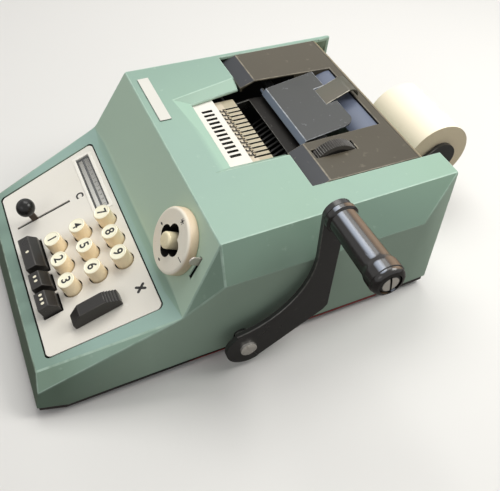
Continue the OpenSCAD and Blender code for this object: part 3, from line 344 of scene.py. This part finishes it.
def roll_paint(n, base):
    """Turns of paper that show as fine rings on the roll's ends."""
    rings = n.math("SINE", n.both(n.radius(ROLL), ROLL_RINGS), 0.0)
    shades = n.mix(n.span(rings, -1.0, 1.0), linear(196, 180, 148), linear(246, 232, 204))
    return n.mix(n.either(n.facing(RIGHT, 0.5, 0.9), n.facing(LEFT, 0.5, 0.9)), base, shades)


def scale_paint(n, base):
    """Lighter towards the right end of the scale."""
    return n.mix(n.along(RIGHT, 0.05, at(-74, 0, 0)), base, linear(196, 194, 188))


def channel_paint(n, base):
    """Painted reflection: lighter towards the right end of the channel."""
    return n.mix(n.along(RIGHT, 0.05, at(-76, 0, 0)), base, linear(232, 230, 224))


def comb_paint(n, base):
    """Ivory in front of the wires."""
    wires = CREST + 58.5
    return n.mix(n.along(FRONT, 0.001, at(0, wires, 0)), base, linear(206, 194, 172))


def pan_paint(n, base):
    """Painted shade: dark under the keyboard and along the rear, so red shows only between them.
    """
    dark = linear(50, 44, 42)
    front = n.mix(n.along(FRONT, 0.01, at(0, 104, 0)), base, dark)
    return n.mix(n.along(REAR, 0.01, at(0, 236, 0)), front, dark)


def grooves(n):
    """Grooves round the thumb wheel, which cross its teeth."""
    across = n.vector("DOT_PRODUCT", n.space, RIGHT)
    return n.math("SINE", n.both(across, WHEEL_GROOVES), 0.0)


def clear_material():
    n = Nodes("clear_window")
    n.link(n.span(n.noise(60.0), 0.3, 0.7, 0.03, 0.1), n.shader.inputs["Roughness"])
    shades = n.mix(n.noise(40.0, 4.0), (0.72, 0.74, 0.74), (0.86, 0.87, 0.86))
    n.link(shades, n.shader.inputs["Base Color"])
    n.shader.inputs["Alpha"].default_value = 0.12
    return n.material


# A look for each material slot
MATERIALS = {
    # The housing's tones add painted light, shade and reflection by facing, and painted shade
    # low at the front
    "housing_plastic": surface("mint_moulding", MINT, 0.4, vary=0.05, patch=12.0,
                               wear_and_edge_highlight=linear(174, 198, 183), tint=linear(138, 166, 146),
                               grain=1400.0, grain_depth=0.00001, specular=0.35,
                               paint=housing_paint, shade_over_wear=housing_grime),
    "ivory_plastic": surface("ivory_moulding", linear(240, 236, 227), 0.42, vary=0.035,
                             wear_and_edge_highlight=linear(250, 248, 242), tint=linear(228, 223, 211)),
    "key_plastic": surface("key_moulding", linear(255, 250, 224), 0.26, vary=0.015, coat=0.3,
                           paint=key_paint),
    "black_plastic": surface("black_moulding", linear(38, 36, 34), 0.32, vary=0.15,
                             wear_and_edge_highlight=linear(66, 63, 59), specular=0.4),
    "cover_paint": surface("cover_enamel", linear(76, 70, 57), 0.38, vary=0.05, patch=12.0,
                           wear_and_edge_highlight=linear(140, 132, 115), tint=linear(68, 63, 52),
                           specular=0.35, paint=cover_paint),
    "black_paint": surface("black_enamel", linear(40, 39, 38), 0.32, vary=0.12,
                           wear_and_edge_highlight=linear(104, 102, 98)),
    "red_paint": surface("red_primer", linear(150, 62, 58), 0.5, vary=0.1, paint=pan_paint),
    "steel": surface("steel", linear(96, 96, 94), 0.4, metal=0.7, stretch=(1, 12, 12)),
    "dark_steel": surface("dark_steel", linear(62, 63, 62), 0.4, vary=0.08, specular=0.35,
                          wear_and_edge_highlight=linear(186, 190, 194), tint=linear(58, 60, 61),
                          paint=guide_paint),
    "chrome": surface("chrome", linear(232, 228, 220), 0.2, metal=0.7),
    "brass": surface("brass", linear(150, 130, 88), 0.36, metal=0.9),
    "rubber": surface("rubber", linear(30, 30, 30), 0.7, vary=0.1),
    "clear_plastic": clear_material(),
    "paper": surface("paper", linear(255, 244, 220), 0.85, vary=0.015, grain=700.0,
                     grain_depth=0.00003, paint=roll_paint),
}
# Black ink for print, also used as painted shade on the walls of slots
INK_AND_SHADE = surface("black_ink_and_shade", linear(22, 21, 20), 0.5, vary=0.1)
CREAM_INK = surface("cream_ink", linear(238, 232, 208), 0.45, vary=0.03)
FIGURE_INK = surface("figure_ink", linear(84, 78, 68), 0.5, vary=0.1)
# Near black as painted shade for faces and parts deep in the machine
INNER_SHADE = surface("inner_shade_black", linear(24, 23, 22), 0.65, vary=0.2, specular=0.2)
TIP_IVORY = surface("tip_ivory", linear(156, 142, 116), 0.5, vary=0.12)
CHANNEL = surface("channel_metal", linear(140, 134, 124), 0.4, vary=0.06, paint=channel_paint)
# Nodes that look different from the rest of their slot
LOOKS = {
    "selector_ring": surface("ring_moulding", linear(255, 248, 232), 0.42, vary=0.03,
                             patch=40.0, wear_and_edge_highlight=linear(170, 152, 124),
                             tint=linear(244, 232, 212), paint=ring_paint),
    "selector_knob": surface("knob_moulding", linear(255, 242, 204), 0.3, vary=0.03, coat=0.3,
                             tint=linear(246, 226, 180)),
    "clear_ball": surface("ball_moulding", linear(24, 23, 22), 0.24, vary=0.1, specular=0.3,
                          rough_vary=0.04),
    "clear_stem": surface("stem_steel", linear(66, 54, 44), 0.4, metal=0.3, vary=0.1,
                          wear_and_edge_highlight=linear(120, 110, 98)),
    "crank_handle": surface("handle_moulding", linear(30, 27, 25), 0.22, vary=0.12,
                            rough_vary=0.03, paint=handle_paint),
    "window_plate": surface("plate_moulding", linear(230, 227, 219), 0.5, vary=0.02,
                            tint=linear(220, 213, 200)),
    "type_comb": surface("comb_moulding", linear(176, 166, 142), 0.45, vary=0.06,
                         patch=120.0, wear_and_edge_highlight=linear(226, 220, 200),
                         tint=linear(176, 166, 138), paint=comb_paint),
    "line_shield": surface("shield_enamel", linear(30, 28, 26), 0.5, vary=0.08,
                           specular=0.15, wear_and_edge_highlight=linear(150, 148, 142)),
    "guide_tab": surface("tab_steel", linear(78, 76, 63), 0.36, vary=0.08, specular=0.4,
                         wear_and_edge_highlight=linear(226, 220, 204), tint=linear(92, 80, 66)),
    "paper_chute": surface("chute_steel", linear(98, 106, 124), 0.4, vary=0.1,
                           specular=0.35),
    "release_tab": surface("tab_metal", linear(198, 190, 180), 0.3, metal=0.3, vary=0.05),
    "label_plate": surface("label_enamel", linear(214, 212, 204), 0.35, vary=0.02,
                           paint=plate_paint),
    "platen_wheel": surface("wheel_moulding", linear(78, 75, 71), 0.34, vary=0.12,
                            wear_and_edge_highlight=linear(190, 184, 168), relief=grooves),
    "window_bezel": surface("bezel_moulding", linear(250, 246, 236), 0.3, vary=0.02,
                            wear_and_edge_highlight=linear(255, 253, 248)),
    "column_scale": surface("scale_enamel", linear(96, 90, 80), 0.45, vary=0.06,
                            paint=scale_paint),
    "pin_carriage": surface("carriage_metal", linear(128, 124, 112), 0.4, metal=0.5,
                            vary=0.06),
    # Painted shade: near black for the key guide's black plastic and for the side frames inside
    # the machine
    "key_guide": INNER_SHADE,
    "side_frame_left": INNER_SHADE,
    "side_frame_right": INNER_SHADE,
    # Near black: the sectors' dark steel and painted shade deep in the machine
    "type_sectors": surface("sector_steel_and_shade", linear(38, 36, 34), 0.45, metal=0.2, vary=0.1),
}


# Pieces that stand for the CAD nodes
def new_piece(name, mesh, body, material):
    piece = bpy.data.objects.new(name, mesh)
    bpy.context.scene.collection.objects.link(piece)
    piece.data.materials.clear()
    piece.data.materials.append(material)
    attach(piece, body)
    return piece


# Width of each node's rounded edges, in millimetres
ROUNDING = {
    "upper_cover": 0.8, "base_pan": 0.4, "key_panel": 0.3, "window_bezel": 0.4,
    "repeat_bar": 0.5, "key_0": 0.5, "key_00": 0.5, "key_000": 0.5, "printer_cover": 0.5,
    "paper_guide": 0.4, "guide_tab": 0.35, "crank_arm": 0.6, "window_plate": 0.2,
    "type_comb": 0.2, "label_plate": 0.15, "release_tab": 0.3, "roll_bracket": 0.5,
    "clear_stem": 0.3, "line_shield": 0.25, "paper_chute": 0.2,
}
ROUNDING_SEGMENTS = 3
SHORTEST_ROUNDED = 4 * MM
# Least angle between faces, in degrees, that counts as an edge
EDGE_ANGLE = 28
EDGE_ANGLE_OF = {"printer_cover": 14}
SAME_POINT = 2e-6
SAME_PLANE = math.radians(0.5)


def skin(node):
    """Copy of a node with rounded edges, standing for the node."""
    edge_angle = math.radians(EDGE_ANGLE_OF.get(node, EDGE_ANGLE))
    mesh = NODES[node].data.copy()
    mesh.name = node + "_skin"
    work = bmesh.new()
    work.from_mesh(mesh)
    bmesh.ops.remove_doubles(work, verts=work.verts, dist=SAME_POINT)
    bmesh.ops.dissolve_limit(work, angle_limit=SAME_PLANE, verts=work.verts, edges=work.edges)
    for face in work.faces:
        face.smooth = True
    rounded = work.edges.layers.float.new("bevel_weight_edge")
    for edge in work.edges:
        sharp = edge.is_convex and edge.calc_face_angle() > edge_angle
        if sharp and edge.calc_length() > SHORTEST_ROUNDED:
            edge[rounded] = 1.0
    work.to_mesh(mesh)
    work.free()
    if "custom_normal" in mesh.attributes:
        mesh.attributes.remove(mesh.attributes["custom_normal"])
    mesh.set_sharp_from_angle(angle=edge_angle)
    material = LOOKS.get(node) or MATERIALS[SLOT_OF[node]]
    piece = new_piece(node + "_skin", mesh, BODY_OF[node], material)
    if node in ROUNDING:
        # Rounded edges take the paler edge version: wear and a painted highlight
        edge_wear_and_highlight = EDGE_WEAR_AND_HIGHLIGHT.get(material.name)
        if edge_wear_and_highlight:
            piece.data.materials.append(edge_wear_and_highlight)
        bevel = piece.modifiers.new("rounding", "BEVEL")
        bevel.width = ROUNDING[node] * MM
        bevel.segments = ROUNDING_SEGMENTS
        bevel.limit_method = "WEIGHT"
        bevel.use_clamp_overlap = False
        bevel.material = 1 if edge_wear_and_highlight else 0
    weights = piece.modifiers.new("flat_faces", "WEIGHTED_NORMAL")
    weights.mode = "FACE_AREA"
    weights.weight = 100
    weights.keep_sharp = True
    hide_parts(node)
    return piece


SKINS = {node: skin(node) for node in NODES}


def repaint(node, material, test):
    """Gives the faces that pass a test of middle and normal another material."""
    piece = SKINS[node]
    piece.data.materials.append(material)
    index = len(piece.data.materials) - 1
    for face in piece.data.polygons:
        if test(face.center.copy(), face.normal.copy()):
            face.material_index = index


shells = bmesh.new()
for node in ("upper_cover", "base_pan", "printer_cover"):
    shells.from_mesh(NODES[node].data)
SHELL_TREE = BVHTree.FromBMesh(shells)
shells.free()
# Millimetres behind the crest and below the top
PRINTER_REAR = 150
OPENING_DEPTH = 6.5


def looks_inwards(middle, normal):
    """True for a face inside the shells, leaving out the shallow sides of the openings."""
    place = TOP.inverted() @ middle
    if place.y > PRINTER_REAR or (place.y > 0 and place.z > -OPENING_DEPTH):
        return False
    start, reach = middle + normal * 0.4 * MM, 300 * MM
    return SHELL_TREE.ray_cast(start, normal, reach)[0] is not None


def in_pan(middle, normal):
    """True for the pan's floor and for its faces inside the shells."""
    return normal.z > 0.9 or looks_inwards(middle, normal)


def in_gate(middle, normal):
    """True for the walls of the selector's opening."""
    place = DIAL.inverted() @ middle
    gate_radius, ring_top = 13, 7.2
    return math.hypot(place.x, place.y) < gate_radius and place.z < ring_top


def on_tip(middle, normal):
    """True for the comb's fingers at their tips."""
    place = TOP.inverted() @ middle
    return 56.2 < place.y < 58.2 and place.z > COMB_HEIGHT + 0.05


def is_wall(middle, normal):
    """True for the sides of slots and gaps."""
    return normal.z < 0.5


# Painted shade: near black on faces inside the shells, on the pan's floor and on the walls of
# the selector's gate
repaint("upper_cover", INNER_SHADE, looks_inwards)
repaint("printer_cover", INNER_SHADE, looks_inwards)
repaint("base_pan", INNER_SHADE, in_pan)
repaint("selector_ring", INNER_SHADE, in_gate)
repaint("type_comb", TIP_IVORY, on_tip)
# Painted shade on the walls of the slots in the window plate and the comb
repaint("window_plate", INK_AND_SHADE, is_wall)
repaint("type_comb", INK_AND_SHADE, is_wall)


def darken_slot(node):
    """Painted shade on the walls and floor of the slot of a screw whose head faces the crank's
    side.
    """
    corners = [v.co for v in NODES[node].data.vertices]
    face = max(v.x for v in corners)
    head = [v for v in corners if v.x > face - 1 * MM]
    y = (min(v.y for v in head) + max(v.y for v in head)) / 2
    z = (min(v.z for v in head) + max(v.z for v in head)) / 2
    reach = max(math.hypot(v.y - y, v.z - z) for v in head) * 0.97

    def in_slot(middle, normal):
        inside = math.hypot(middle.y - y, middle.z - z) < reach
        below = middle.x < face - 0.1 * MM
        return inside and below and (abs(normal.x) < 0.5 or middle.x < face - 0.3 * MM)

    repaint(node, INK_AND_SHADE, in_slot)


darken_slot("handle_screw")


# Shapes of printed marks
def finish_mesh(name, work, face):
    bmesh.ops.recalc_face_normals(work, faces=work.faces)
    for polygon in work.faces:
        polygon.smooth = True
    mesh = bpy.data.meshes.new(name)
    work.to_mesh(mesh)
    work.free()
    mesh.transform(face)
    mesh.set_sharp_from_angle(angle=math.radians(30))
    return mesh


def slab(name, outlines, heights, face, body, material, rounding=0.0):
    """Flat raised shapes between two heights above a face."""
    low, high = heights
    work = bmesh.new()
    for outline in outlines:
        base = work.faces.new([work.verts.new((x, y, low)) for x, y in outline])
        grown = bmesh.ops.extrude_face_region(work, geom=[base])["geom"]
        rise = [g for g in grown if isinstance(g, bmesh.types.BMVert)]
        bmesh.ops.translate(work, verts=rise, vec=(0, 0, high - low))
    if rounding:
        top_edges = [e for e in work.edges if all(v.co.z > high - 1e-4 for v in e.verts)]
        bmesh.ops.bevel(work, geom=top_edges, offset=rounding, segments=2, affect="EDGES",
                        profile=0.5)
    return new_piece(name, finish_mesh(name, work, face), body, material)


def bar(x, y, length, width, spin=0.0):
    """Outline of a bar with round ends."""
    points = []
    for side in (1, -1):
        for step in range(5):
            turn = math.radians(-90 + 45 * step)
            end = Vector((side * (length - width) / 2, 0))
            points.append(end + side * Vector((math.cos(turn), math.sin(turn))) * width / 2)
    c, s = math.cos(math.radians(spin)), math.sin(math.radians(spin))
    return [(x + p.x * c - p.y * s, y + p.x * s + p.y * c) for p in points]


def as_mesh(name, curve):
    helper = bpy.data.objects.new(name + "_helper", curve)
    bpy.context.scene.collection.objects.link(helper)
    bpy.context.view_layer.update()
    evaluated = helper.evaluated_get(bpy.context.evaluated_depsgraph_get())
    mesh = bpy.data.meshes.new_from_object(evaluated)
    bpy.data.objects.remove(helper)
    return mesh


def ink(name, text, size, place, body, material=INK_AND_SHADE, bold=0.0, depth=0.1):
    """Printed characters on the deck: place is across, up and above it, in millimetres."""
    curve = bpy.data.curves.new(name, "FONT")
    curve.body = text
    curve.size = size
    curve.align_x = "CENTER"
    curve.align_y = "CENTER"
    curve.offset = bold
    curve.extrude = depth / 2
    mesh = as_mesh(name, curve)
    mesh.transform(DECK @ Matrix.Translation(place))
    return new_piece(name, mesh, body, material)


# Marks on the keyboard, in millimetres on the deck
KEY_1 = (-3.6, 39.2)
COLUMN_PITCH, ROW_PITCH = 19.8, 19.4
NUMERAL_SIZE, NUMERAL_HEIGHT = 9.2, 10.06
for k in range(1, 10):
    row, column = divmod(k - 1, 3)
    place = (KEY_1[0] + COLUMN_PITCH * column, KEY_1[1] + ROW_PITCH * row, NUMERAL_HEIGHT)
    ink(f"numeral_{k}", str(k), NUMERAL_SIZE, place, f"key_{k}", bold=0.1 if k == 4 else 0.18)
ink("letter_clear", "C", 7.8, (-39.9, 66, -0.36), "housing", bold=0.28)
slab("sign_times", [bar(63.1, 81, 8.4, 1.9, spin) for spin in (-48, 56)], (-0.42, -0.3), DECK,
     "housing", INK_AND_SHADE)
DOTS = {"0": (-3.6,), "00": (20.3, 24.1), "000": (37.0, 40.6, 44.2)}
for name, spots in DOTS.items():
    slab(f"dots_{name}", [bar(x, 20.2, 2.6, 1.9, 90) for x in spots], (10.15, 10.32), DECK,
         f"key_{name}", CREAM_INK, rounding=0.05)

# Marks on the selector ring, in millimetres from its middle
RING_PRINT = (7.45, 7.53)
DIAMOND = ((-1.7, 0), (-0.4, -0.9), (1.7, -0.1), (0.3, 0.9))
RING_MARKS = {
    "mark_star": [bar(1.6, 17.0, 4.2, 0.6, spin) for spin in (0, 60, 120)],
    "mark_line": [bar(17.3, 0.2, 4.8, 0.65)],
    "mark_left": [[(-15.1 + x, 0.4 + y) for x, y in DIAMOND]],
    "mark_low": [[(0.5 + x, -15.9 + y) for x, y in DIAMOND]],
}
for name, outlines in RING_MARKS.items():
    slab(name, outlines, RING_PRINT, DIAL, "housing", INK_AND_SHADE)

# Entry window: metal channel in front and figures on the scale behind it
slab("window_channel", [[(-73.9, 74.5), (-19.1, 74.5), (-19.1, 77.3), (-73.9, 77.3)]],
     (-1.92, -1.7), DECK, "housing", CHANNEL, rounding=0.05)
FIRST_FIGURE, FIGURE_PITCH = -69.5, 4.75
for k in range(11):
    place = (FIRST_FIGURE + FIGURE_PITCH * k, 80.75, -1.68)
    ink(f"figure_{k}", str((k + 1) % 10), 2.9, place, "housing", material=FIGURE_INK,
        bold=0.05, depth=0.04)

# Small wire hooks at the front of the comb's fingers
FINGERS, FINGER_PITCH, COMB_MIDDLE = 12, 4.67, -10.5
WIRE_RADIUS = 0.38
# Across from the finger's middle, back from the crest, above the comb
HOOK = ((-1.9, 54.2, 0.3), (-1.7, 53.6, 0.6), (-0.6, 53.5, 0.7), (0.2, 54.2, 0.75),
        (0.3, 56.0, 0.75))
for k in range(FINGERS):
    x = COMB_MIDDLE + (k - (FINGERS - 1) / 2) * FINGER_PITCH
    curve = bpy.data.curves.new(f"hook_{k}", "CURVE")
    curve.dimensions = "3D"
    curve.bevel_depth = WIRE_RADIUS
    curve.bevel_resolution = 2
    curve.use_fill_caps = True
    spline = curve.splines.new("POLY")
    spline.points.add(len(HOOK) - 1)
    for point, (across, back, above) in zip(spline.points, HOOK):
        point.co = (x + across, back, COMB_HEIGHT + above, 1)
    mesh = as_mesh(f"hook_{k}", curve)
    mesh.transform(TOP)
    new_piece(f"comb_hook_{k}", mesh, "housing", INK_AND_SHADE)


def camera():
    """Camera at the photograph's angle, with its focal length and shift in pixels."""
    azimuth, elevation, roll = (math.radians(a) for a in (68.7, 47.6, -0.7))
    distance, focal, photo_width = 538.4, 694.7, 500
    forward = Vector((-math.sin(azimuth) * math.cos(elevation),
                      math.cos(azimuth) * math.cos(elevation), -math.sin(elevation)))
    place = at(0, 150, 3.4) - forward * distance * MM
    right = forward.cross(Vector(UP)).normalized()
    up = right.cross(forward)
    side = right * math.cos(roll) + up * math.sin(roll)
    top = up * math.cos(roll) - right * math.sin(roll)
    data = bpy.data.cameras.new("camera")
    data.sensor_width = 36.0
    data.sensor_fit = "HORIZONTAL"
    data.lens = focal / photo_width * data.sensor_width
    data.shift_x = 39.4 / photo_width
    data.shift_y = -4.2 / photo_width
    data.clip_start = 0.01
    obj = bpy.data.objects.new("camera", data)
    turn = Matrix((side, top, -forward)).transposed().to_4x4()
    obj.matrix_world = Matrix.Translation(place) @ turn
    bpy.context.scene.collection.objects.link(obj)
    bpy.context.scene.camera = obj


FLOOR_COLOUR = (0.76, 0.75, 0.73)
# What the machine gets back from the floor, darker than the camera sees it
FLOOR_BOUNCE = (0.2, 0.19, 0.18)
WORLD_LIGHT = 0.34
WARM_WHITE = (1.0, 0.99, 0.96)
WHITE = (1.0, 1.0, 1.0)
# Place and size in metres, power in watts
LAMPS = {
    "key": ((-0.48, 0.16, 1.12), (0.8, 0.6), 7.4, WARM_WHITE),
    "rear": ((0.12, 0.42, 0.6), (0.3, 0.3), 3.0, WARM_WHITE),
    "front": ((0.5, -1.2, 0.9), (0.9, 0.5), 2.2, WHITE),
}


def floor_paint(n, base):
    return n.mix(n.add("ShaderNodeLightPath").outputs["Is Camera Ray"], FLOOR_BOUNCE, base)


def studio():
    """Plain floor, a world that is white to look at, and three soft lamps."""
    mesh = bpy.data.meshes.new("floor")
    work = bmesh.new()
    bmesh.ops.create_grid(work, x_segments=2, y_segments=2, size=4.0)
    work.to_mesh(mesh)
    work.free()
    floor = bpy.data.objects.new("floor", mesh)
    bpy.context.scene.collection.objects.link(floor)
    floor.data.materials.append(surface("floor_paper", FLOOR_COLOUR, 0.8, vary=0.01, patch=3.0,
                                        paint=floor_paint))

    world = bpy.data.worlds.new("studio")
    bpy.context.scene.world = world
    world.use_nodes = True
    tree = world.node_tree
    path = tree.nodes.new("ShaderNodeLightPath")
    seen = path.outputs["Is Camera Ray"]
    for output in ("Is Glossy Ray", "Is Transmission Ray"):
        either = tree.nodes.new("ShaderNodeMath")
        either.operation = "MAXIMUM"
        tree.links.new(seen, either.inputs[0])
        tree.links.new(path.outputs[output], either.inputs[1])
        seen = either.outputs["Value"]
    level = tree.nodes.new("ShaderNodeMapRange")
    level.inputs["To Min"].default_value = WORLD_LIGHT
    level.inputs["To Max"].default_value = 1.0
    tree.links.new(seen, level.inputs["Value"])
    background = tree.nodes["Background"]
    background.inputs["Color"].default_value = (*WHITE, 1.0)
    tree.links.new(level.outputs["Result"], background.inputs["Strength"])

    for name, (place, size, power, colour) in LAMPS.items():
        data = bpy.data.lights.new(name, "AREA")
        data.shape = "RECTANGLE"
        data.size, data.size_y = size
        data.energy = power
        data.color = colour
        obj = bpy.data.objects.new(name, data)
        obj.location = place
        aim = Vector((0, -0.02, 0.05)) - Vector(place)
        obj.rotation_euler = aim.to_track_quat("-Z", "Y").to_euler()
        bpy.context.scene.collection.objects.link(obj)


camera()
studio()
bpy.context.scene.view_settings.view_transform = "Standard"
